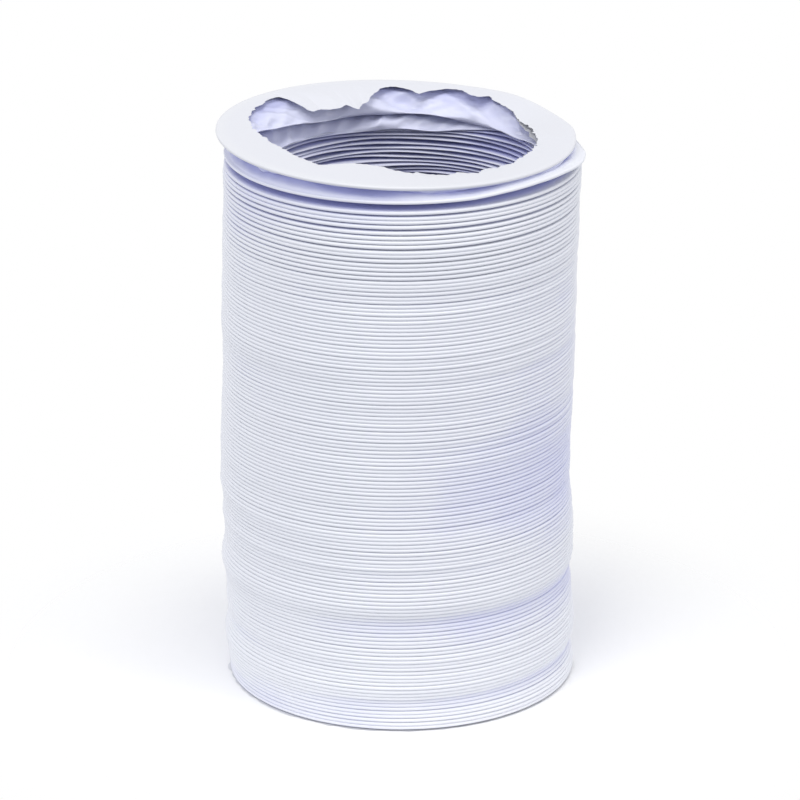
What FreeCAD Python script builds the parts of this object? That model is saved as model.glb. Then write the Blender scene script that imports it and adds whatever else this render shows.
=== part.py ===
"""Flexible air duct: PVC film pleated over a spring steel wire, standing packed on its end.

The duct stands on the XY plane with its axis on Z. All lengths are in millimetres.
One wire runs through the whole duct as a coil, and the film folds inward between its turns.
Packed turns lie so close that each one is drawn as a level ring. The stack is cut into
equal sections, because a duct opens and bends between its turns all the way along.
"""
import FreeCAD, Part
import Sketcher
import math
import os

Vector = FreeCAD.Vector

# Driving dimensions: alias, value, meaning. Everything else follows from these.
SIZES = [
    ("nominal_bore", 102, "spigot size that the opened duct fits over"),
    ("wire_diameter", 0.9, "spring steel wire, across its corners"),
    ("film_thickness", 0.1, "PVC film, both plies together"),
    ("wire_clearance", 0.02, "room round the wire inside its crest"),
    ("closed_pitch", 1.165, "rise of one turn when the duct is packed"),
    ("loose_pitch", 1.37, "rise of one turn near the top, where nothing presses on it"),
    ("fold_depth", 11.5, "from the outside of a crest to the inner edge of the fold"),
    ("turns_per_section", 9, "turns that one section carries"),
    ("flap_reach", 11.1, "width of the flap of film left round the top opening"),
    ("foot_setback", 0.4, "from the outside of the first turn in to the bottom's cut edge"),
    ("bite_radius", 1.1, "each notch of the ragged cut edge"),
    ("bite_depth", 0.55, "how far a notch cuts into the film"),
    ("tear_radius", 6.5, "each of the long scallops torn at the back of the top edge"),
    ("tear_depth", 3.2, "how far a scallop cuts into the film"),
    ("end_gap", 0.05, "between the lifted end turn's hinge line and the stack"),
    ("lift_angle", 4.0, "degrees that the end turn springs open"),
    ("skirt_gap", 0.5, "between the open pleat's hanging film and the folds below it"),
]
SECTIONS = 15  # sections in the stack
LOOSE = 2  # of them at the top, standing a little looser
BITES = 60  # notches round a cut edge
TEARS = (30, 58, 92, 131, 153)  # degrees round from +X to each torn scallop

# Lengths worked out from the sheet, written as expressions that features are bound to.
POCKET = "(Sizes.wire_diameter / 2 + Sizes.wire_clearance)"
CREST = f"({POCKET} + Sizes.film_thickness)"
WIRE_RING = "(Sizes.nominal_bore / 2 + Sizes.film_thickness + Sizes.wire_diameter / 2)"
OUTSIDE = f"({WIRE_RING} + {CREST})"
FOLD = f"({OUTSIDE} - Sizes.fold_depth)"
CLOSED, OPENER = "Sizes.closed_pitch", "Sizes.loose_pitch"  # the two rises of a turn
CLOSED_HEIGHT = f"{SECTIONS - LOOSE} * Sizes.turns_per_section * {CLOSED}"
LOOSE_HEIGHT = f"{LOOSE} * Sizes.turns_per_section * {OPENER}"
STACK_TOP = f"(Sizes.film_thickness + {CLOSED_HEIGHT} + {LOOSE_HEIGHT})"
TOP_EDGE = f"({OUTSIDE} - Sizes.flap_reach)"
BOTTOM_EDGE = f"({OUTSIDE} - Sizes.foot_setback)"
SKIRT = f"({FOLD} - Sizes.skirt_gap)"
END_HALF = f"({OPENER} / 2)"  # half the end turn's height
FLAT = f"{math.tan(math.pi / 8):.9f}"  # half a flat of an octagon, over its inner radius


def make_sheet(doc):
    """The spreadsheet of driving dimensions, with one aliased cell for each."""
    sheet = doc.addObject("Spreadsheet::Sheet", "Sizes")
    for row, (alias, size, meaning) in enumerate(SIZES, start=1):
        sheet.set(f"A{row}", alias)
        sheet.set(f"B{row}", str(size))
        sheet.set(f"C{row}", meaning)
        sheet.setAlias(f"B{row}", alias)
    doc.recompute()
    return sheet


def make_body(doc, label):
    body = doc.addObject("PartDesign::Body", label)
    body.Label = label
    return body


def origin_feature(body, role):
    return next(o for o in body.Origin.OriginFeatures if o.Role == role)


def make_sketch(body, name, plane):
    sketch = body.newObject("Sketcher::SketchObject", name)
    sketch.AttachmentSupport = [(origin_feature(body, plane), "")]
    sketch.MapMode = "FlatFace"
    return sketch


def worked_out(doc, expression):
    """The length that an expression gives with the sheet as it is."""
    found = doc.getObject("Sizes").evalExpression(expression)
    return float(getattr(found, "Value", found))


def bind(sketch, kind, *where_and_size):
    """Adds a dimension to a sketch and binds it to an expression."""
    *where, expression = where_and_size
    start = worked_out(sketch.Document, expression)
    at = sketch.addConstraint(Sketcher.Constraint(kind, *where, start))
    sketch.setExpression(f"Constraints[{at}]", expression)


def profile_sketch(body, name, points):
    """A closed outline in the body's XZ plane whose corners are pairs of expressions."""
    sketch = make_sketch(body, name, "XZ_Plane")
    corners = [Vector(*(worked_out(body.Document, side) for side in pair), 0) for pair in points]
    count = len(corners)
    for i in range(count):
        sketch.addGeometry(Part.LineSegment(corners[i], corners[(i + 1) % count]))
    for i in range(count):
        sketch.addConstraint(Sketcher.Constraint("Coincident", i, 2, (i + 1) % count, 1))
    for i, (x, z) in enumerate(points):
        bind(sketch, "DistanceX", -1, 1, i, 1, x)
        bind(sketch, "DistanceY", -1, 1, i, 1, z)
    return sketch


def revolve(body, sketch, name):
    turned = body.newObject("PartDesign::Revolution", name)
    turned.Profile = sketch
    turned.ReferenceAxis = (origin_feature(body, "Z_Axis"), [""])
    turned.Angle = 360
    return turned


def repeat_up(body, feature, pitch):
    """One section's turns, a pitch apart."""
    pattern = body.newObject("PartDesign::LinearPattern", f"{body.Name}_turns")
    pattern.Originals = [feature]
    pattern.Direction = (origin_feature(body, "Z_Axis"), [""])
    body.Tip = pattern
    body.Document.recompute()
    pattern.setExpression("Length", f"(Sizes.turns_per_section - 1) * {pitch}")
    pattern.setExpression("Occurrences", "Sizes.turns_per_section")


def film_turn(pitch):
    """One pleat of film: corners (radius, height) round the wire at height 0."""
    t = "Sizes.film_thickness"
    half = f"{pitch} / 2"
    crest_flat = f"{CREST} * {FLAT}"
    pocket_flat = f"{POCKET} * {FLAT}"
    return [
        (f"{FOLD} + {t}", f"-{half}"),
        (f"{WIRE_RING} + {crest_flat}", f"-{CREST}"),
        (OUTSIDE, f"-{crest_flat}"),
        (OUTSIDE, crest_flat),
        (f"{WIRE_RING} + {crest_flat}", CREST),
        (f"{FOLD} + {t}", half),
        (FOLD, half),
        (FOLD, f"{half} - {t}"),
        (f"{WIRE_RING} + {pocket_flat}", POCKET),
        (f"{WIRE_RING} + {POCKET}", pocket_flat),
        (f"{WIRE_RING} + {POCKET}", f"-{pocket_flat}"),
        (f"{WIRE_RING} + {pocket_flat}", f"-{POCKET}"),
        (FOLD, f"-{half} + {t}"),
        (FOLD, f"-{half}"),
    ]


def end_film_turn():
    """The end pleat: its lower layer meets the open pleat, its upper one is the cut flap."""
    corners = film_turn(OPENER)
    t = "Sizes.film_thickness"
    flap = [(TOP_EDGE, END_HALF), (TOP_EDGE, f"{END_HALF} - {t}")]
    lower = [(SKIRT, f"-{END_HALF} + {t}"), (SKIRT, f"-{END_HALF}")]
    return corners[:5] + flap + corners[8:12] + lower


def wire_section_points():
    """The wire's six-sided section, drawn in the circle of its diameter."""
    reach = "Sizes.wire_diameter / 2"
    corners = []
    for step in range(6):
        angle = math.radians(60 * step)
        across = f"{WIRE_RING} + {reach} * {math.cos(angle):.9f}"
        up = f"{reach} * {math.sin(angle):.9f}"
        corners.append((across, up))
    return corners


def cut_bites(body, edge, outward, depth):
    """Notches round a cut edge of film, cut from the body's XY plane upward.

    The film lies outside the edge when outward is 1, and inside it when it is -1."""
    name = f"{body.Name}_bite"
    sketch = make_sketch(body, f"{name}_sketch", "XY_Plane")
    centre = f"{edge} + {outward} * (Sizes.bite_depth - Sizes.bite_radius)"
    middle = Vector(worked_out(body.Document, centre), 0, 0)
    radius = worked_out(body.Document, "Sizes.bite_radius")
    sketch.addGeometry(Part.Circle(middle, Vector(0, 0, 1), radius))
    bind(sketch, "DistanceX", -1, 1, 0, 3, centre)
    sketch.addConstraint(Sketcher.Constraint("PointOnObject", 0, 3, -1))
    bind(sketch, "Radius", 0, "Sizes.bite_radius")
    bite = pocket_up(body, sketch, name, depth)
    pattern = body.newObject("PartDesign::PolarPattern", f"{name}s")
    pattern.Originals = [bite]
    pattern.Axis = (origin_feature(body, "Z_Axis"), [""])
    pattern.Angle = 360
    body.Tip = pattern
    body.Document.recompute()
    pattern.Occurrences = BITES


def cut_tears(body, edge, depth):
    """A few long scallops torn into the film outside a cut edge."""
    sketch = make_sketch(body, f"{body.Name}_tear_sketch", "XY_Plane")
    centre = f"({edge} + Sizes.tear_depth - Sizes.tear_radius)"
    middle = worked_out(body.Document, centre)
    radius = worked_out(body.Document, "Sizes.tear_radius")
    for i, degrees in enumerate(TEARS):
        along = Vector(math.cos(math.radians(degrees)), math.sin(math.radians(degrees)), 0)
        sketch.addGeometry(Part.Circle(along * middle, Vector(0, 0, 1), radius))
        bind(sketch, "DistanceX", -1, 1, i, 3, f"{centre} * {along.x:.9f}")
        bind(sketch, "DistanceY", -1, 1, i, 3, f"{centre} * {along.y:.9f}")
        bind(sketch, "Radius", i, "Sizes.tear_radius")
    pocket_up(body, sketch, f"{body.Name}_tear", depth)


def pocket_up(body, sketch, name, depth):
    pocket = body.newObject("PartDesign::Pocket", name)
    pocket.Profile = sketch
    pocket.Reversed = True
    pocket.setExpression("Length", depth)
    body.Tip = pocket
    body.Document.recompute()
    return pocket


def lift(body):
    """Turns a body of the end turn open about the line where it rests on the stack at +X."""
    body.Placement = FreeCAD.Placement(Vector(), FreeCAD.Rotation(Vector(0, 1, 0), 1))
    sine, cosine = "sin(Sizes.lift_angle * 1 deg)", "cos(Sizes.lift_angle * 1 deg)"
    across = f"{OUTSIDE} * (1 - {cosine}) + {END_HALF} * {sine}"
    up = f"{STACK_TOP} + Sizes.end_gap + {OUTSIDE} * {sine} + {END_HALF} * {cosine}"
    body.setExpression("Placement.Base.x", across)
    body.setExpression("Placement.Base.z", up)
    body.setExpression("Placement.Rotation.Angle", "Sizes.lift_angle")


def make_sections(doc):
    """The film and the wire of each section of the stack."""
    bodies = []
    foot = "Sizes.film_thickness"
    for number in range(1, SECTIONS + 1):
        pitch = CLOSED if number <= SECTIONS - LOOSE else OPENER
        film = make_body(doc, f"film_section_{number:02d}")
        outline = profile_sketch(film, f"film_profile_{number:02d}", film_turn(pitch))
        repeat_up(film, revolve(film, outline, f"film_turn_{number:02d}"), pitch)
        wire = make_body(doc, f"wire_section_{number:02d}")
        wire.AllowCompound = True  # its turns only meet above and below the section
        outline = profile_sketch(wire, f"wire_profile_{number:02d}", wire_section_points())
        repeat_up(wire, revolve(wire, outline, f"wire_turn_{number:02d}"), pitch)
        for body in (film, wire):
            body.setExpression("Placement.Base.z", f"{foot} + {pitch} / 2")
            bodies.append(body)
        foot = f"{foot} + Sizes.turns_per_section * {pitch}"
    return bodies


def make_end_turn(doc):
    """The top turn, sprung open: its film with the cut flap, and its wire."""
    film = make_body(doc, "end_turn_film")
    revolve(film, profile_sketch(film, "end_film_profile", end_film_turn()), "end_film_ring")
    flap_height = f"{END_HALF} + Sizes.film_thickness"
    cut_bites(film, TOP_EDGE, 1, flap_height)
    cut_tears(film, TOP_EDGE, flap_height)
    wire = make_body(doc, "end_turn_wire")
    revolve(wire, profile_sketch(wire, "end_wire_profile", wire_section_points()), "end_wire_ring")
    lift(film)
    lift(wire)
    return [film, wire]


def make_open_pleat(doc):
    """The film that hangs from the lifted turn into the mouth of the stack, cut off level."""
    body = make_body(doc, "open_pleat_film")
    t = "Sizes.film_thickness"
    rise = f"2 * {OUTSIDE} * tan(Sizes.lift_angle * 1 deg)"
    foot = f"-{END_HALF} - {rise}"
    wall = [
        (SKIRT, f"-{END_HALF}"),
        (SKIRT, foot),
        (f"{SKIRT} + {t}", foot),
        (f"{SKIRT} + {t}", f"-{END_HALF}"),
    ]
    revolve(body, profile_sketch(body, "open_pleat_profile", wall), "open_pleat_wall")
    # everything below the stack's top, seen from the side, with the hinge line as its corner
    below = [
        (OUTSIDE, f"-{END_HALF}"),
        (f"-{OUTSIDE}", foot),
        (f"-{OUTSIDE}", f"2 * ({foot})"),
        (OUTSIDE, f"2 * ({foot})"),
    ]
    level = body.newObject("PartDesign::Pocket", "open_pleat_level")
    level.Profile = profile_sketch(body, "open_pleat_below", below)
    level.Midplane = True
    level.Type = "Length"
    level.setExpression("Length", f"2 * {OUTSIDE}")
    lift(body)
    return body


def make_bottom_flap(doc):
    """The flap of film at the lower cut end, folded out flat under the first turn."""
    body = make_body(doc, "bottom_cut_flap")
    sketch = make_sketch(body, "bottom_flap_sketch", "XY_Plane")
    for i, edge in enumerate((FOLD, BOTTOM_EDGE)):
        sketch.addGeometry(Part.Circle(Vector(), Vector(0, 0, 1), worked_out(doc, edge)))
        sketch.addConstraint(Sketcher.Constraint("Coincident", i, 3, -1, 1))
        bind(sketch, "Radius", i, edge)
    pad = body.newObject("PartDesign::Pad", "bottom_flap_film")
    pad.Profile = sketch
    pad.setExpression("Length", "Sizes.film_thickness")
    doc.recompute()
    cut_bites(body, BOTTOM_EDGE, -1, "2 * Sizes.film_thickness")
    return body


def main():
    doc = FreeCAD.newDocument("FlexibleAirDuct")
    make_sheet(doc)
    bodies = [make_bottom_flap(doc), *make_sections(doc)]
    bodies += [*make_end_turn(doc), make_open_pleat(doc)]
    doc.recompute()
    for item in doc.Objects:
        if "Invalid" in item.State or "Error" in item.State:
            raise RuntimeError(f"{item.Name} did not compute: {item.State}")
    for body in bodies:
        if body.Shape.isNull() or not body.Shape.isValid():
            raise RuntimeError(f"{body.Label} has no valid shape")
    os.makedirs("parts", exist_ok=True)
    for body in bodies:
        body.Shape.exportStep(f"parts/{body.Label}.step")
        print(body.Label, len(body.Shape.Solids), round(body.Shape.Volume, 2))


main()
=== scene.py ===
"""Flexible air duct, dressed: white PVC film pleated over one spiral wire, packed on its end.

Turn coordinate t counts the wire's turns from the bottom, and the angle round the duct is
360 degrees times t, from +X towards +Y. The film's crest lies at a whole coordinate of the
wire, and its folds lie half a turn above and below.
"""

import math

import bpy
import numpy as np
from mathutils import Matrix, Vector


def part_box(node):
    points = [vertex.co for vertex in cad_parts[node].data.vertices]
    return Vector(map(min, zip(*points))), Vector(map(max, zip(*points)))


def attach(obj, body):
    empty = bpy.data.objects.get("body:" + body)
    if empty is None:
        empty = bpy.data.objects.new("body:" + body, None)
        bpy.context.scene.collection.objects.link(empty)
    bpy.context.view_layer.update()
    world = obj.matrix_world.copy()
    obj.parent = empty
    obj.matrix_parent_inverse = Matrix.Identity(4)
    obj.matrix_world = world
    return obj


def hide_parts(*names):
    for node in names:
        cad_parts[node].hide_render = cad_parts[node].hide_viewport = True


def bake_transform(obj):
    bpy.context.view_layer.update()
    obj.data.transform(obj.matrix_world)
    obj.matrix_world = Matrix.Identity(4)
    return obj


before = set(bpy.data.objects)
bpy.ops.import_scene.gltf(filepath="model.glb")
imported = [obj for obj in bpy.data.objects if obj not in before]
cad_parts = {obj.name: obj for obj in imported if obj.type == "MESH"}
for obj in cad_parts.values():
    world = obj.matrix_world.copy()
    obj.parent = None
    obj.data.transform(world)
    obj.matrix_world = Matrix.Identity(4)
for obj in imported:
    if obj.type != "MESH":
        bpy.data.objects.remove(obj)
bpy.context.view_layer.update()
rng = np.random.default_rng(11)

MM = 0.001
TURN = 2 * math.pi
SEG = 144  # columns of film round one turn
BEAD = 0.565 * MM  # radius of the film drawn round the wire
WIRE = 0.42 * MM  # radius of the wire itself
WIRE_SIDES = 6
PER_SECTION = 9  # turns in one section of the CAD
CREST_HALF = 0.57 * MM  # half the height of the CAD's crest
FOLD_DEPTH = 11.5 * MM  # from the outside in to the fold
TUCK = 0.15 * MM  # how far inside the ring loose film leaves the bead

films = sorted(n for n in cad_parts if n.startswith("film_section_"))
wires = sorted(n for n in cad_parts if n.startswith("wire_section_"))
boxes = [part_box(n) for n in films]
OUTER = boxes[0][1][0]
RING = OUTER - CREST_HALF
FOLD = OUTER - FOLD_DEPTH
heights = [b[0][2] for b in boxes] + [boxes[-1][1][2]]
STACK = float(PER_SECTION * len(films))  # turns in the stack, the second rim being the last
TOP = heights[-1]


# ---------------------------------------------------------------- the duct's line
def ease(f):
    """A share from 0 to 1, eased in and out."""
    return f * f * (3 - 2 * f)


def table(values, at, period=1.0):
    """Smooth values, one per period of turns, read at turn coordinates."""
    x = np.asarray(at, float) / period + 2
    i = np.floor(x).astype(int)
    f = ease(x - i)
    return values[i] * (1 - f) + values[i + 1] * f


WANDER_TURNS, OVAL_TURNS = 7.0, 6.0  # turns over which the slow unevenness changes
wander_x, wander_y = (rng.normal(0, 0.16 * MM, 60) for _ in range(2))
jitter_x, jitter_y = (rng.normal(0, 0.045 * MM, 160) for _ in range(2))
swell = rng.normal(0, 0.05 * MM, 160)
hop = rng.normal(0, 1.0, 160)
oval = rng.normal(0, 0.10 * MM, (2, 60))
# How far the turns lie off the axis, and how much wider than the ring they are: turn, mm, mm.
SIDEWAYS = np.array([
    (0, 0.3, -0.15), (3, 0.35, -0.1), (6, -0.1, -0.2), (8, -0.5, -0.25), (11, -0.25, 0.55),
    (14, 0.2, 0.4), (17, 0.27, 0.15), (20, -0.07, 0.1), (24, -0.32, -0.2), (27, -0.8, -0.4),
    (29, -1.25, -0.25), (31, -1.06, 0.35), (33, -0.8, 0.6), (35, -0.57, 0.45), (37.5, -0.25, 0.18),
    (42, -0.6, 0.2), (44, -0.83, 0.3), (46, -0.5, 0.11), (48, -0.56, 0.13), (50.5, -1.0, 0.08),
    (52.5, -1.55, 0.18), (55, -1.67, 0.08), (59, -1.45, 0.04), (70, -1.08, 0), (83, -0.34, 0.1),
    (90, -0.35, 0.3), (94, -0.62, 0.38), (98, -0.57, 0.29), (101, -0.22, 0.4), (113, 0.0, 0.1),
    (120, 0.2, 0.36), (126, 0.6, 0.3), (134, 1.0, 0.0), (135.02, 0.6, 0.1), (135.1, 0.6, 0.95),
    (135.16, 0.6, 0.85), (135.25, 0.6, 0.3), (136, 0.6, 0.35), (136.1, 0.6, 0.95), (137, 0.6, 0.95),
])
FORWARDS_AT = [0, 7.8, 8.6, 20, 31.2, 32.1, 45, 60]
FORWARDS = [0, 0.25, -0.1, 0.1, 0.15, -0.3, -0.1, 0]  # mm, away from the camera


def centre(t):
    """Where the middle of a turn lies off the duct's axis."""
    lean_x = np.interp(t, SIDEWAYS[:, 0], SIDEWAYS[:, 1]) * MM
    lean_y = np.interp(t, FORWARDS_AT, FORWARDS) * MM
    x = lean_x + table(wander_x, t, WANDER_TURNS) + table(jitter_x, t)
    y = lean_y + table(wander_y, t, WANDER_TURNS) + table(jitter_y, t)
    return x, y


CLOSED = (heights[1] - heights[0]) / PER_SECTION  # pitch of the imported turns
LOOSE_FROM = 113.0  # above this turn the pitch grows evenly
GROWTH = 2 * (TOP - heights[0] - CLOSED * STACK) / (STACK - LOOSE_FROM) ** 2
HOP_AT = [0, 1, 2, 110, 125, STACK - 2, STACK]
HOP = [0, 0, 0.035, 0.05, 0.14, 0.14, 0]  # mm, how unevenly the turns lie in height


def level(t):
    """Height that a turn would lie at if the coil were even."""
    above = np.maximum(np.asarray(t) - LOOSE_FROM, 0)
    return heights[0] + CLOSED * t + GROWTH * above**2 / 2


def crest_height(t):
    """Height of the wire's middle. The first turn starts flat on the floor."""
    t = np.asarray(t, float)
    start = heights[0] + CREST_HALF + CLOSED * np.clip(t, 0, 1) ** 2 / 2
    z = np.where(t < 1, start, level(t))
    return z + table(hop, t) * np.interp(t, HOP_AT, HOP) * MM


# How far the second rim has come up off the stack, in mm.
RAISED_AT = [133.95, 134.3, 134.5, 134.75, 134.81, 134.84, 134.88, 134.92, 134.96, 135.0]
RAISED = [0, 1.1, 1.7, 1.7, 1.8, 2.3, 2.6, 2.3, 1.3, 0.4]
# The plane that the last turn has lifted to.
RIM_UP = 6.2 * MM
RIM_DOWN_RIGHT = 1.55 * MM  # how far it tips down towards +X
RIM_UP_BACK = 0.55 * MM  # how far it tips up towards +Y
RIM_HUMP = 0.5 * MM  # a slight bulge up, at the right back
LIFT_TURN = 0.15  # share of a turn in which the wire climbs to it


def hump(degrees, start, full, last, end):
    """1 between full and last, falling smoothly to 0 at start and end."""
    return ease(np.interp(degrees, [start, full, last, end], [0, 1, 1, 0]))


def end_rise(t):
    """The wire's height with the last turns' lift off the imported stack."""
    t = np.asarray(t, float)
    phi = TURN * t
    plane = TOP + RIM_UP - RIM_DOWN_RIGHT * np.cos(phi) + RIM_UP_BACK * np.sin(phi)
    plane = plane + RIM_HUMP * hump(np.degrees(phi) % 360, -1, 22, 40, 70)
    share = ease(np.clip((t - STACK) / LIFT_TURN, 0, 1))
    line = crest_height(t) + np.interp(t, RAISED_AT, RAISED) * MM
    return np.where(t <= STACK, line, line * (1 - share) + plane * share)


# How far the last turns have shifted towards +X, in mm.
OUT_AT = [133.9, 134.6, 134.85, 134.95, 135.0, 135.03, 135.05, 135.12, 135.25, 136.0, 136.14]
OUT = [0, 0.2, 1.2, 1.9, 1.5, 0.0, -0.9, -1.1, -1.7, -1.7, -1.3]


def wire_line(t):
    """The wire's middle line, as x, y, z."""
    t = np.asarray(t, float)
    phi = TURN * t
    cx, cy = centre(t)
    cx = cx + np.interp(t, OUT_AT, OUT) * MM
    wider = np.interp(t, SIDEWAYS[:, 0], SIDEWAYS[:, 2]) * MM
    r = RING + table(swell, t) + table(oval[0], t, OVAL_TURNS) * np.cos(2 * phi)
    r = r + table(oval[1], t, OVAL_TURNS) * np.sin(3 * phi) + wider
    return cx + r * np.cos(phi), cy + r * np.sin(phi), end_rise(t)


# ---------------------------------------------------------------- noise round the duct
RIPPLES = np.arange(2, 30)  # waves round one turn
ripple_size = 1.0 / RIPPLES**0.55
ripple_size /= math.sqrt((ripple_size**2).sum() / 2)
ripple_turn = rng.uniform(0, TURN, (3, 160, len(RIPPLES)))


def ripple(kind, t, finest=30):
    """Waviness of unit size along the film's edge, different on every turn."""
    t = np.asarray(t, float)
    n = np.floor(t + 2).astype(int)
    f = ease(t + 2 - n)
    phi = TURN * t
    total = np.zeros_like(t)
    for i, k in enumerate(RIPPLES[RIPPLES < finest]):
        here = np.cos(k * phi + ripple_turn[kind, n, i])
        above = np.cos(k * phi + ripple_turn[kind, n + 1, i])
        total += ripple_size[i] * (here * (1 - f) + above * f)
    return total


# ---------------------------------------------------------------- meshes
def mesh_piece(name, points, faces):
    """Adds a smooth-shaded mesh to the scene."""
    mesh = bpy.data.meshes.new(name)
    mesh.vertices.add(len(points))
    mesh.vertices.foreach_set("co", np.asarray(points, np.float32).ravel())
    faces = np.asarray(faces, np.int32)
    mesh.loops.add(faces.size)
    mesh.loops.foreach_set("vertex_index", faces.ravel())
    mesh.polygons.add(len(faces))
    starts = np.arange(0, faces.size, faces.shape[1], dtype=np.int32)
    mesh.polygons.foreach_set("loop_start", starts)
    mesh.update(calc_edges=True)
    mesh.polygons.foreach_set("use_smooth", np.full(len(faces), True))
    mesh.validate()
    obj = bpy.data.objects.new(name, mesh)
    bpy.context.scene.collection.objects.link(obj)
    return obj


def grid_faces(columns, rows, offset=0, closed_rows=False):
    """Quads of a grid whose vertices are numbered down each column in turn."""
    c = np.arange(columns - 1)[:, None]
    r = np.arange(rows if closed_rows else rows - 1)[None, :]
    r2 = (r + 1) % rows
    a, b = c * rows + r, c * rows + r2
    d, e = (c + 1) * rows + r, (c + 1) * rows + r2
    return offset + np.stack([a, d, e, b], -1).reshape(-1, 4)


def follow(obj):
    """Bakes a piece's placement into its points."""
    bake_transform(obj)


ARC = np.radians([-105, -68, -34, 0, 34, 68, 105])  # the film's way round the wire


def tip_point(t):
    """The inner fold between two turns of wire, at turn coordinate t."""
    t = np.asarray(t, float)
    phi = TURN * t + math.pi
    cx, cy = centre(t)
    hung = np.interp(t, [131.5, 132.6, 133.4, 133.6], [0, 0.3, 0.3, 1])  # the top folds hang down
    sag = hump(np.degrees(phi) % 360, 38, 80, 140, 190) * hung
    uneven = np.interp(t, [0, 100, 118], [0.45, 0.45, 0.7]) * MM
    r = FOLD + 0.2 * MM + ripple(0, t, 8) * uneven - 1.6 * MM * sag
    below, above = end_rise(np.maximum(t - 0.5, 0)), end_rise(np.minimum(t + 0.5, STACK))
    wave = np.interp(t, [0, 110, 125], [0.10, 0.14, 0.36])
    z = (below + above) / 2 + ripple(1, t, 8) * wave * MM
    z = z - (3.0 + 0.5 * ripple(2, t, 14)) * MM * sag
    z = np.where(t < 0.6, heights[0] + 0.15 * MM + np.maximum(t, 0) * 0.3 * MM, z)
    return cx + r * np.cos(phi), cy + r * np.sin(phi), z


def bead_row(x, y, z, ux, uy, a):
    """Film on the wire's bead, at angle a up from the outside."""
    return x + BEAD * math.cos(a) * ux, y + BEAD * math.cos(a) * uy, z + BEAD * math.sin(a)


def film_columns(t):
    """Points of the film across one turn, from the fold below to the one above, and their turns.

    Each fold is a small round loop, and the film between it and the wire's bead is straight.
    """
    x, y, z = wire_line(t)
    phi = TURN * np.asarray(t)
    ux, uy = np.cos(phi), np.sin(phi)
    floor_at = heights[0] + 0.05 * MM
    lx, ly, lz = tip_point(t - 0.5)
    hx, hy, hz = tip_point(t + 0.5)
    sway = ripple(2, t, 12) * 0.05 * MM
    loop = np.clip((hz - lz) * 0.24, 0.05 * MM, 0.34 * MM)
    rows, shares = [(lx, ly, lz)], [-0.5]
    for out, part in ((0.16, 0.62), (0.75, 1.0)):
        up = np.maximum(lz + loop * part, floor_at)
        rows.append((lx + out * MM * ux, ly + out * MM * uy, up))
        shares.append(-0.49)
    bx, by, bz = bead_row(x, y, z, ux, uy, ARC[0])
    rows.append(((lx + bx) / 2, (ly + by) / 2, np.maximum((lz + bz) / 2 + sway, floor_at)))
    shares.append(-0.25)
    for a in ARC:
        rows.append(bead_row(x, y, z, ux, uy, a))
        shares.append(0.0)
    tx, ty, tz = rows[-1]
    rows.append(((hx + tx) / 2, (hy + ty) / 2, (hz + tz) / 2 + sway))
    shares.append(0.25)
    for out, part in ((0.75, 1.0), (0.16, 0.62)):
        rows.append((hx + out * MM * ux, hy + out * MM * uy, hz - loop * part))
        shares.append(0.49)
    rows.append((hx, hy, hz))
    shares.append(0.5)
    points = np.stack([np.stack(r, -1) for r in rows], 1)
    return points, np.array(shares)


# The turns at which the stack's film and wire are cut into pieces, one piece between two of them.
ANCHORS = [0, 13.5, 22.5, 31.5, 42.5, 47.5, 58.5, 69.5, 74.5, 85.5, 96.5, 101.5, 112.5, 121.5]
ANCHORS.append(STACK - 1)
SPANS = range(len(ANCHORS) - 1)


def span(k, step=1):
    """Turn coordinates of the columns between two anchors."""
    first, last = round(ANCHORS[k] * SEG), round(ANCHORS[k + 1] * SEG)
    return np.arange(first, last + 1, step) / SEG


film_pieces, wire_pieces = [], []
for k in SPANS:
    t = span(k)
    points, shares = film_columns(t)
    faces = grid_faces(len(t), len(shares))
    film = mesh_piece(f"pleated_film_{k + 1:02d}", points.reshape(-1, 3), faces)
    follow(film)
    film_pieces.append(film)


def wire_tube(t):
    """Points of the wire, a ring of them at each coordinate."""
    x, y, z = wire_line(t)
    phi = TURN * t
    angle = np.arange(WIRE_SIDES) * TURN / WIRE_SIDES
    across = WIRE * np.cos(angle)[None, :]
    px = x[:, None] + across * np.cos(phi)[:, None]
    py = y[:, None] + across * np.sin(phi)[:, None]
    pz = z[:, None] + WIRE * np.sin(angle)[None, :]
    return np.stack([px, py, pz], -1)


for k in SPANS:
    t = span(k, step=2)
    faces = grid_faces(len(t), WIRE_SIDES, closed_rows=True)
    wire = mesh_piece(f"wire_coil_{k + 1:02d}", wire_tube(t).reshape(-1, 3), faces)
    follow(wire)
    wire_pieces.append(wire)

# ---------------------------------------------------------------- creases in the loose film
CREASES = 9
FILM_RADIUS = 0.045  # m, the radius at which lengths along the loose film are measured
crease_angle = np.radians(rng.uniform(-38, 38, CREASES))
crease_length = np.array([30, 23, 17, 13, 10.5, 8.5, 7, 5.5, 4.5]) * MM
crease_start = rng.uniform(0, 1, (4, CREASES))


def crumple(kind, along, across, turned=0.0):
    """Sharp-edged creases of unit size, in a film laid out flat."""
    total = np.zeros(np.broadcast(along, across).shape)
    for i in range(CREASES):
        a = crease_angle[i] + turned
        f = (along * math.sin(a) + across * math.cos(a)) / crease_length[i] + crease_start[kind, i]
        bend = crease_start[kind - 1, i] * 6 + along / (31 * MM)
        f = f + 0.18 * np.sin(bend)
        total += np.abs((f % 1) * 2 - 1) ** 1.6 * (crease_length[i] / (12 * MM)) ** 0.9
    return (total - 3.5) / 1.4
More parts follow.
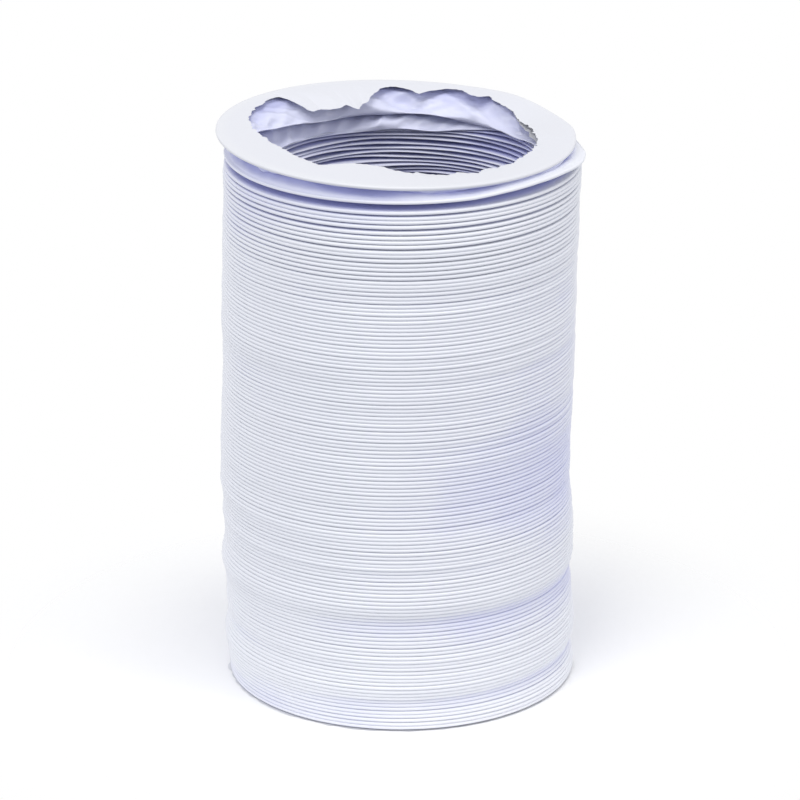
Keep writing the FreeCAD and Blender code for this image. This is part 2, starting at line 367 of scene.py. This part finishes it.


# ---------------------------------------------------------------- the open pleat
# Rows of its film: from the fold under the second rim out to the wire (HANG), round the bead,
# in to the open fold (LOWER) and out again to the lifted end turn (UPPER).
# A row's weight runs from 0 on the stack's side to 1 at the end turn.
FINE = 576  # columns round its one turn
HANG, LOWER, UPPER = 14, 14, 26
t = STACK - 1 + np.arange(FINE + 1) / FINE
x, y, z = wire_line(t)
phi = TURN * t
degrees = np.degrees(phi - TURN * (STACK - 1))
ux, uy = np.cos(phi), np.sin(phi)
arc_length = phi * FILM_RADIUS
cx, cy = centre(t)
lx, ly, lz = tip_point(t - 0.5)
tip_r = np.hypot(lx - cx, ly - cy)
crest_low = z - BEAD * 0.97
pleat_rows, weights = [np.stack([lx, ly, lz], -1)], [0.0]
for i in range(1, HANG):
    s = i / HANG
    wave = crumple(3, arc_length, s * 11 * MM, 0.35) * math.sin(math.pi * min(1, s + 0.1))
    wave = wave * np.clip((crest_low - lz) / (3.5 * MM), 0.06, 1)
    r = tip_r + (RING - TUCK - tip_r) * s**1.3 - 1.1 * MM * wave
    zz = lz + (crest_low - lz) * (1 - (1 - s) ** 2.0) + 0.7 * MM * wave
    pleat_rows.append(np.stack([cx + r * ux, cy + r * uy, zz], -1))
    weights.append(0.0)
for a in ARC:
    r = BEAD * math.cos(a)
    pleat_rows.append(np.stack([x + r * ux, y + r * uy, z + BEAD * math.sin(a)], -1))
    weights.append(0.0)

# The open fold: degrees, radius in mm, and its height as a share of the gap between the rims.
PLEAT_AT = [0, 30, 60, 100, 135, 160, 180, 205, 235, 270, 295, 325, 360]
PLEAT_IN = [40.6, 39.8, 39.2, 38.7, 39.0, 41.0, 44.7, 46.2, 46.2, 46.0, 48.0, 49.6, 50.0]
PLEAT_UP = [0.35, 0.3, 0.3, 0.3, 0.35, 0.45, 0.60, 0.70, 0.73, 0.66, 0.5, 0.45, 0.4]
ax, ay, az = wire_line(t + 1)
sag = hump(degrees, 6, 40, 140, 172)
fold_r = np.interp(degrees, PLEAT_AT, PLEAT_IN) * MM + ripple(0, t + 3.0, 12) * 0.5 * MM
fold_z = z + np.interp(degrees, PLEAT_AT, PLEAT_UP) * (az - z)
fold_z = fold_z - (2.0 + 0.5 * ripple(1, t, 16)) * MM * sag
gap = np.clip((az - z) / (5 * MM), 0.06, 1)  # creases are shallow where the pleat is narrow
start_r, start_z = RING - TUCK, z + BEAD * 0.96
for i in range(1, LOWER + 1):
    s = i / LOWER
    r = start_r * (1 - s) + fold_r * s
    bulge = np.sin(math.pi * s**0.8)
    raised = 0.10 * (az - z) * (1 - sag) + sag * 0.9 * MM
    zz = start_z * (1 - s) + fold_z * s + bulge * raised
    zz = zz + bulge * gap * 0.3 * MM * crumple(0, arc_length, s * 9 * MM, 0.9)
    pleat_rows.append(np.stack([cx + r * ux, cy + r * uy, zz], -1))
    weights.append(0.5 * s)
ex, ey = ax - RING * ux, ay - RING * uy
for i in range(1, UPPER + 1):
    s = i / UPPER
    mx, my = cx * (1 - s) + ex * s, cy * (1 - s) + ey * s
    out = s**1.35
    r = fold_r * (1 - out) + (RING - TUCK) * out
    wave = crumple(1, arc_length, s * 14 * MM) * np.sin(math.pi * min(1, 0.12 + s)) * gap
    r = r - 1.1 * MM * wave
    zz = fold_z * (1 - s) + (az - BEAD * 0.96) * s + 1.3 * MM * wave
    zz = zz + math.sin(math.pi * s) * 0.9 * MM * sag
    if s < 0.92:
        zz = np.minimum(zz, az - 1.0 * MM - 0.5 * MM * (1 - s))
    pleat_rows.append(np.stack([mx + r * ux, my + r * uy, zz], -1))
    weights.append(0.5 + 0.5 * s)
pleat_points = np.stack(pleat_rows, 1)
pleat_faces = grid_faces(len(t), len(pleat_rows))
pleat_weights = np.tile(weights, len(t))
from_wire = HANG + len(ARC) - 1  # the row where the film leaves the wire for the fold above
last_profile, last_weights = pleat_points[-1, from_wire:], np.array(weights[from_wire:])

# ---------------------------------------------------------------- the end turn and its torn flap
# The torn edge round the top opening: degrees, radius in mm.
FLAP_EDGE = np.array([
    (0, 40.9), (9, 40.1), (17, 40.4), (31, 40.5), (38, 42.5), (46, 43.2), (50, 43.4), (54, 45.6),
    (57, 43.2), (63, 45.3), (67, 47.6), (71, 47.3), (75, 44.5), (78, 41.8), (80, 39.2), (84, 42.5),
    (88, 44.5), (91, 45.1), (94, 45.4), (96, 44.2), (97, 42.0), (98.8, 39.4), (101.8, 37.5),
    (103.3, 34.8), (106, 34.7), (107.5, 33.3), (111, 31.0), (114, 31.9), (115.5, 34.2), (119, 33.4),
    (123, 33.4), (127, 34.5), (128.4, 36.0), (131, 35.5), (133.5, 35.4), (134.5, 38.5),
    (135.2, 43.5), (136.3, 46.8), (139, 47.6), (143, 47.5), (148.5, 45.6), (153, 46.0), (162, 44.1),
    (167, 43.7), (172, 42.7), (179, 41.5), (185, 39.9), (191, 38.8), (198, 38.3), (204, 37.6),
    (216, 36.8), (225, 37.8), (230, 38.1), (236, 39.2), (239, 38.2), (242, 35.8), (245, 34.3),
    (248, 32.9), (255, 31.5), (264, 31.5), (266.5, 33.0), (272, 35.2), (276, 35.8), (277.5, 37.0),
    (279.5, 35.8), (284, 37.6), (288, 38.7), (292, 40.0), (297, 38.4), (300, 40.2), (304, 41.5),
    (310, 39.1), (313, 39.7), (314.5, 41.4), (318, 40.0), (324, 41.2), (333, 39.9), (346, 40.7),
    (360, 40.9),
])
# How far that edge hangs below the rim: degrees, mm.
FLAP_DROP = np.array([
    (0, 0.4), (60, 0.2), (90, 0.3), (96, 0.4), (99, 0.7), (102, 1.1), (104, 1.9), (106, 2.4),
    (110, 3.0), (131, 3.0), (134, 2.7), (135.3, 0.8), (137, 0.3), (170, 0.3), (230, 0.4),
    (270, 0.5), (320, 0.5), (360, 0.4),
])
FLAP_SEG = 720  # columns round one turn
LAP = 101  # columns by which the last turn runs on over its own start
REACH = 20  # rows from the bead in to the torn edge
t = STACK + np.arange(FLAP_SEG + LAP) / FLAP_SEG
phi = TURN * t
degrees = np.degrees(phi - TURN * STACK) % 360
x, y, z = wire_line(t)
ux, uy = np.cos(phi), np.sin(phi)
ex, ey = x - RING * ux, y - RING * uy
inner = np.interp(degrees, *FLAP_EDGE.T) * MM
nick = rng.normal(0, 1, 400)  # small tears in the edge
ragged = 0.16 * table(nick, degrees / 2.2) + 0.2 * table(nick[::-1].copy(), degrees / 1.0)
inner = inner + ragged * MM
drop = np.interp(degrees, *FLAP_DROP.T) * MM
rows = []
for a in ARC:
    rows.append(bead_row(x, y, z, ux, uy, a))
tongue = hump(degrees, 88, 104, 130, 138)
for i in range(1, REACH + 1):
    s = i / REACH
    r = (RING - TUCK) * (1 - s) + inner * s
    wave = ripple(0, t + 7.0, 9) * 0.16 * MM * s**1.5 + ripple(1, t + 8.0, 16) * 0.05 * MM * s
    creased = crumple(2, arc_length[0] + phi * FILM_RADIUS, s * 12 * MM, 1.3)
    wave = wave + creased * (0.05 + 0.3 * tongue) * MM * s**1.5
    zz = z + BEAD * (1 - 0.25 * s) - drop * s**2.4 + wave
    rows.append((ex + r * ux, ey + r * uy, zz))
points = np.stack([np.stack(r, -1) for r in rows], 1)
# The turn's end comes down on to its start, which is pressed down a little under it.
start = points[:LAP].copy()
start[:, len(ARC) :, 2] -= 0.3 * MM * np.clip((LAP - 8 - np.arange(LAP)) / 20, 0, 1)[:, None]
join = ease(np.arange(LAP) / (LAP - 1))[:, None, None]
points[FLAP_SEG:] = points[FLAP_SEG:] * (1 - join) + start * join
points[FLAP_SEG:, len(ARC) :, 2] += 0.05 * MM
points[FLAP_SEG:, : len(ARC), :2] *= 1.0005
points[:LAP] = start
flap = mesh_piece("end_turn_flap", points.reshape(-1, 3), grid_faces(len(t), len(rows)))
follow(flap)

# The open pleat runs on from its last column, and closes where its two rims meet.
under, over = points[:LAP, len(ARC) - 1], points[FLAP_SEG:, 0]
closing = int((over[:, 2] - under[:, 2] > 0.15 * MM).argmin())
share = last_weights[None, :, None]
along = under[:closing, None] * (1 - share) + over[:closing, None] * share
recess = last_profile - along[0]
turned = (phi[:closing] - phi[0])[:, None]
fade = np.linspace(1, 0.1, closing)[:, None]
along[..., 0] += fade * (recess[:, 0] * np.cos(turned) - recess[:, 1] * np.sin(turned))
along[..., 1] += fade * (recess[:, 0] * np.sin(turned) + recess[:, 1] * np.cos(turned))
along[..., 2] += fade * recess[:, 2]
end_faces = grid_faces(closing, len(last_weights), offset=len(pleat_weights))
pleat_points = np.concatenate([pleat_points.reshape(-1, 3), along.reshape(-1, 3)])
pleat = mesh_piece("open_pleat", pleat_points, np.concatenate([pleat_faces, end_faces]))
follow(pleat)

t = STACK - 1 + np.arange(2 * SEG + 1) / SEG
faces = grid_faces(len(t), WIRE_SIDES, closed_rows=True)
end_wire = mesh_piece("wire_coil_15", wire_tube(t).reshape(-1, 3), faces)
follow(end_wire)
wire_pieces.append(end_wire)

# ---------------------------------------------------------------- the flap under the first turn
angle = np.arange(361) / 360 * TURN
edge = OUTER - 0.5 * MM + 0.25 * MM * table(nick, np.degrees(angle) / 3)
rows = []
for s in np.linspace(0, 1, 6):
    r = FOLD * (1 - s) + edge * s
    rows.append((r * np.cos(angle), r * np.sin(angle), np.full_like(angle, 0.06 * MM)))
points = np.stack([np.stack(r, -1) for r in rows], 1)
bottom = mesh_piece("bottom_flap", points.reshape(-1, 3), grid_faces(len(angle), len(rows)))
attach(bottom, "stack_01")


# ---------------------------------------------------------------- materials
SHADE_FROM, SHADE_TO = 0.0405, 0.0525  # m off the axis: the painted shade runs between these


def painted_pleat_shade(nodes, links, where, crest, deep_shade, lip_shade, places):
    """Painted shade by the distance from the duct's axis, a little unevenly.

    It is the lip colour as far as the first of the places, the deep colour between the other two,
    and the crest colour outside: pale lavender painted shade on the inner fold edges, darker indigo
    painted shade inside the pleats, and the film's own white on the crest.
    """
    flat = nodes.new("ShaderNodeVectorMath")
    flat.operation = "MULTIPLY"
    flat.inputs[1].default_value = (1, 1, 0)
    reach = nodes.new("ShaderNodeVectorMath")
    reach.operation = "LENGTH"
    broad = nodes.new("ShaderNodeTexNoise")
    broad.inputs["Scale"].default_value = 45
    broad.inputs["Detail"].default_value = 3
    uneven = nodes.new("ShaderNodeMath")
    uneven.operation = "MULTIPLY_ADD"
    uneven.inputs[1].default_value = 0.0012
    ramp = nodes.new("ShaderNodeMapRange")
    ramp.inputs["From Min"].default_value = SHADE_FROM
    ramp.inputs["From Max"].default_value = SHADE_TO
    shade_ramp = nodes.new("ShaderNodeValToRGB")
    shade_ramp.color_ramp.elements[0].color = (*lip_shade, 1)
    shade_ramp.color_ramp.elements[1].color = (*crest, 1)
    for place, colour in zip(places, (lip_shade, deep_shade, deep_shade)):
        shade_ramp.color_ramp.elements.new(place).color = (*colour, 1)
    links.new(where.outputs["Object"], flat.inputs[0])
    links.new(flat.outputs["Vector"], reach.inputs[0])
    links.new(where.outputs["Object"], broad.inputs["Vector"])
    links.new(broad.outputs["Fac"], uneven.inputs[0])
    links.new(reach.outputs["Value"], uneven.inputs[2])
    links.new(uneven.outputs["Value"], ramp.inputs["Value"])
    links.new(ramp.outputs["Result"], shade_ramp.inputs["Fac"])
    return shade_ramp.outputs["Color"]


def creased_surface(nodes, links, where, crinkle):
    """A fine grain under sharp creases that run round the duct."""
    fine = nodes.new("ShaderNodeTexNoise")
    fine.inputs["Scale"].default_value = 900
    fine.inputs["Detail"].default_value = 4
    grain = nodes.new("ShaderNodeBump")
    grain.inputs["Strength"].default_value = 0.12
    grain.inputs["Distance"].default_value = 0.0002
    drawn_out = nodes.new("ShaderNodeVectorMath")
    drawn_out.operation = "MULTIPLY"
    drawn_out.inputs[1].default_value = (0.55, 0.55, 1.7)
    creases = nodes.new("ShaderNodeTexNoise")
    creases.noise_type = "RIDGED_MULTIFRACTAL"
    creases.inputs["Scale"].default_value = 75
    creases.inputs["Detail"].default_value = 2.5
    creases.inputs["Roughness"].default_value = 0.45
    creased = nodes.new("ShaderNodeBump")
    creased.inputs["Strength"].default_value = crinkle
    creased.inputs["Distance"].default_value = 0.0014
    links.new(where.outputs["Object"], fine.inputs["Vector"])
    links.new(fine.outputs["Fac"], grain.inputs["Height"])
    links.new(where.outputs["Object"], drawn_out.inputs[0])
    links.new(drawn_out.outputs["Vector"], creases.inputs["Vector"])
    links.new(creases.outputs["Fac"], creased.inputs["Height"])
    links.new(grain.outputs["Normal"], creased.inputs["Normal"])
    return creased.outputs["Normal"]


def film_material(name, crest, deep_shade, lip_shade, places, crinkle):
    """White film with painted shade, set by the distance from the axis.

    Pale lavender on the inner fold edges and indigo inside the pleats stand in for shade.
    """
    mat = bpy.data.materials.new(name)
    mat.use_nodes = True
    nodes, links = mat.node_tree.nodes, mat.node_tree.links
    shader = nodes["Principled BSDF"]
    shader.inputs["Roughness"].default_value = 0.36
    shader.inputs["IOR"].default_value = 1.5
    shader.inputs["Specular IOR Level"].default_value = 0.45
    where = nodes.new("ShaderNodeTexCoord")
    colour = painted_pleat_shade(nodes, links, where, crest, deep_shade, lip_shade, places)
    links.new(colour, shader.inputs["Base Color"])
    surface = creased_surface(nodes, links, where, crinkle)
    links.new(surface, shader.inputs["Normal"])
    return mat


def wire_material():
    """Drawn steel with faint streaks."""
    mat = bpy.data.materials.new("steel_wire")
    mat.use_nodes = True
    nodes, links = mat.node_tree.nodes, mat.node_tree.links
    shader = nodes["Principled BSDF"]
    shader.inputs["Metallic"].default_value = 1.0
    where = nodes.new("ShaderNodeTexCoord")
    streak = nodes.new("ShaderNodeTexNoise")
    streak.inputs["Scale"].default_value = 300
    ramp = nodes.new("ShaderNodeMapRange")
    ramp.inputs["To Min"].default_value = 0.25
    ramp.inputs["To Max"].default_value = 0.45
    links.new(where.outputs["Object"], streak.inputs["Vector"])
    links.new(streak.outputs["Fac"], ramp.inputs["Value"])
    links.new(ramp.outputs["Result"], shader.inputs["Roughness"])
    shader.inputs["Base Color"].default_value = (0.56, 0.57, 0.60, 1)
    return mat


WHITE = (0.82, 0.835, 0.88)
# Painted shade: the stack's and the loose film's colours run from pale lavender on the inner fold
# edges to indigo inside the pleats, with the film's own white on the crest.
stack_skin = film_material(
    "stack_film",
    crest=WHITE,
    deep_shade=(0.56, 0.58, 0.86),
    lip_shade=(0.83, 0.845, 0.97),
    places=(0.09, 0.21, 0.79),
    crinkle=0.04,
)
loose_skin = film_material(
    "loose_film",
    crest=WHITE,
    deep_shade=(0.58, 0.60, 0.86),
    lip_shade=(0.72, 0.74, 0.91),
    places=(0.26, 0.60, 0.80),
    crinkle=1.0,
)
# The flap is the same white film as the stack, painted darker and less blue: painted shade that
# offsets the stronger light on its top, a little darker still towards the axis.
flap_shaded_skin = film_material(
    "flap_film",
    crest=(0.735, 0.745, 0.775),
    deep_shade=(0.72, 0.73, 0.77),
    lip_shade=(0.72, 0.73, 0.77),
    places=(0.2, 0.5, 0.8),
    crinkle=0.16,
)
wire_skin = wire_material()
for piece in [*film_pieces, pleat, flap, bottom]:
    skin = {pleat: loose_skin, flap: flap_shaded_skin, bottom: flap_shaded_skin}.get(piece, stack_skin)
    piece.data.materials.append(skin)
for piece in wire_pieces:
    piece.data.materials.append(wire_skin)

# ---------------------------------------------------------------- what each piece stands in for
for k, piece in enumerate(film_pieces):
    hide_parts(films[k])
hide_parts(films[14], "open_pleat_film")
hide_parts("end_turn_film")
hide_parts("bottom_cut_flap")
for k, piece in enumerate(wire_pieces):
    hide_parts(*([wires[k], "end_turn_wire"] if k == 14 else [wires[k]]))


# ---------------------------------------------------------------- floor, light and camera
FLOOR_SOLID, FLOOR_GONE = 0.056, 0.15  # m from the middle: the floor fades out between these


def floor_material():
    """Plain white that gives way to the white backdrop away from the duct."""
    mat = bpy.data.materials.new("floor_white")
    mat.use_nodes = True
    nodes, links = mat.node_tree.nodes, mat.node_tree.links
    shader = nodes["Principled BSDF"]
    shader.inputs["Base Color"].default_value = (0.95, 0.95, 0.95, 1)
    shader.inputs["Roughness"].default_value = 0.9
    shader.inputs["Specular IOR Level"].default_value = 0.1
    where = nodes.new("ShaderNodeTexCoord")
    away = nodes.new("ShaderNodeVectorMath")
    away.operation = "LENGTH"
    fade = nodes.new("ShaderNodeMapRange")
    fade.interpolation_type = "SMOOTHSTEP"
    fade.inputs["From Min"].default_value = FLOOR_SOLID
    fade.inputs["From Max"].default_value = FLOOR_GONE
    clear = nodes.new("ShaderNodeBsdfTransparent")
    mix = nodes.new("ShaderNodeMixShader")
    links.new(where.outputs["Object"], away.inputs[0])
    links.new(away.outputs["Value"], fade.inputs["Value"])
    links.new(fade.outputs["Result"], mix.inputs["Fac"])
    links.new(shader.outputs["BSDF"], mix.inputs[1])
    links.new(clear.outputs["BSDF"], mix.inputs[2])
    links.new(mix.outputs["Shader"], nodes["Material Output"].inputs["Surface"])
    return mat


bpy.ops.mesh.primitive_plane_add(size=6, location=(0, 0, -0.0001))
floor = bpy.context.object
floor.name = "floor"
floor.data.materials.append(floor_material())

# The camera, and glossy and see-through rays, meet pure white; the rest is a cool, dimmer sky.
world = bpy.data.worlds.new("studio")
bpy.context.scene.world = world
world.use_nodes = True
nodes, links = world.node_tree.nodes, world.node_tree.links
back = nodes["Background"]
back.inputs["Color"].default_value = (0.88, 0.90, 0.98, 1)
back.inputs["Strength"].default_value = 0.66
white = nodes.new("ShaderNodeBackground")
white.inputs["Color"].default_value = (1, 1, 1, 1)
white.inputs["Strength"].default_value = 1.0
mix = nodes.new("ShaderNodeMixShader")
path = nodes.new("ShaderNodeLightPath")
seen = nodes.new("ShaderNodeMath")
seen.operation = "MAXIMUM"
links.new(path.outputs["Is Glossy Ray"], seen.inputs[0])
links.new(path.outputs["Is Transmission Ray"], seen.inputs[1])
either = nodes.new("ShaderNodeMath")
either.operation = "MAXIMUM"
links.new(path.outputs["Is Camera Ray"], either.inputs[0])
links.new(seen.outputs["Value"], either.inputs[1])
links.new(either.outputs["Value"], mix.inputs["Fac"])
links.new(back.outputs["Background"], mix.inputs[1])
links.new(white.outputs["Background"], mix.inputs[2])
links.new(mix.outputs["Shader"], nodes["World Output"].inputs["Surface"])


LAMPS_AIM = Vector((0, 0, 0.1))


def lamp(name, at, size, power):
    """A warm white square lamp, aimed at the duct."""
    light = bpy.data.lights.new(name, "AREA")
    light.shape = "SQUARE"
    light.size = size
    light.energy = power
    light.color = (1.0, 0.985, 0.95)
    obj = bpy.data.objects.new(name, light)
    obj.location = at
    obj.rotation_euler = (LAMPS_AIM - Vector(at)).to_track_quat("-Z", "Y").to_euler()
    bpy.context.scene.collection.objects.link(obj)


lamp("key_light", (-1.25, -2.6, 4.1), size=1.75, power=66)
lamp("left_fill", (-3.0, -1.6, 1.5), size=1.8, power=20)
lamp("right_fill", (3.0, -1.6, 1.5), size=1.8, power=28)
lamp("top_light", (0.5, -1.0, 4.4), size=1.75, power=42)

ELEVATION, DISTANCE = math.radians(20.1), 1.37  # of the camera, seen from what it looks at
LENS, SENSOR = 207.2, 36  # mm
aim = Vector((0.0, 0.0, 0.0845))
camera = bpy.data.objects.new("camera", bpy.data.cameras.new("camera"))
camera.data.lens = LENS
camera.data.sensor_width = SENSOR
camera.location = aim + DISTANCE * Vector((0, -math.cos(ELEVATION), math.sin(ELEVATION)))
camera.rotation_euler = (aim - camera.location).to_track_quat("-Z", "Y").to_euler()
bpy.context.scene.collection.objects.link(camera)
bpy.context.scene.camera = camera
bpy.context.scene.view_settings.view_transform = "Standard"
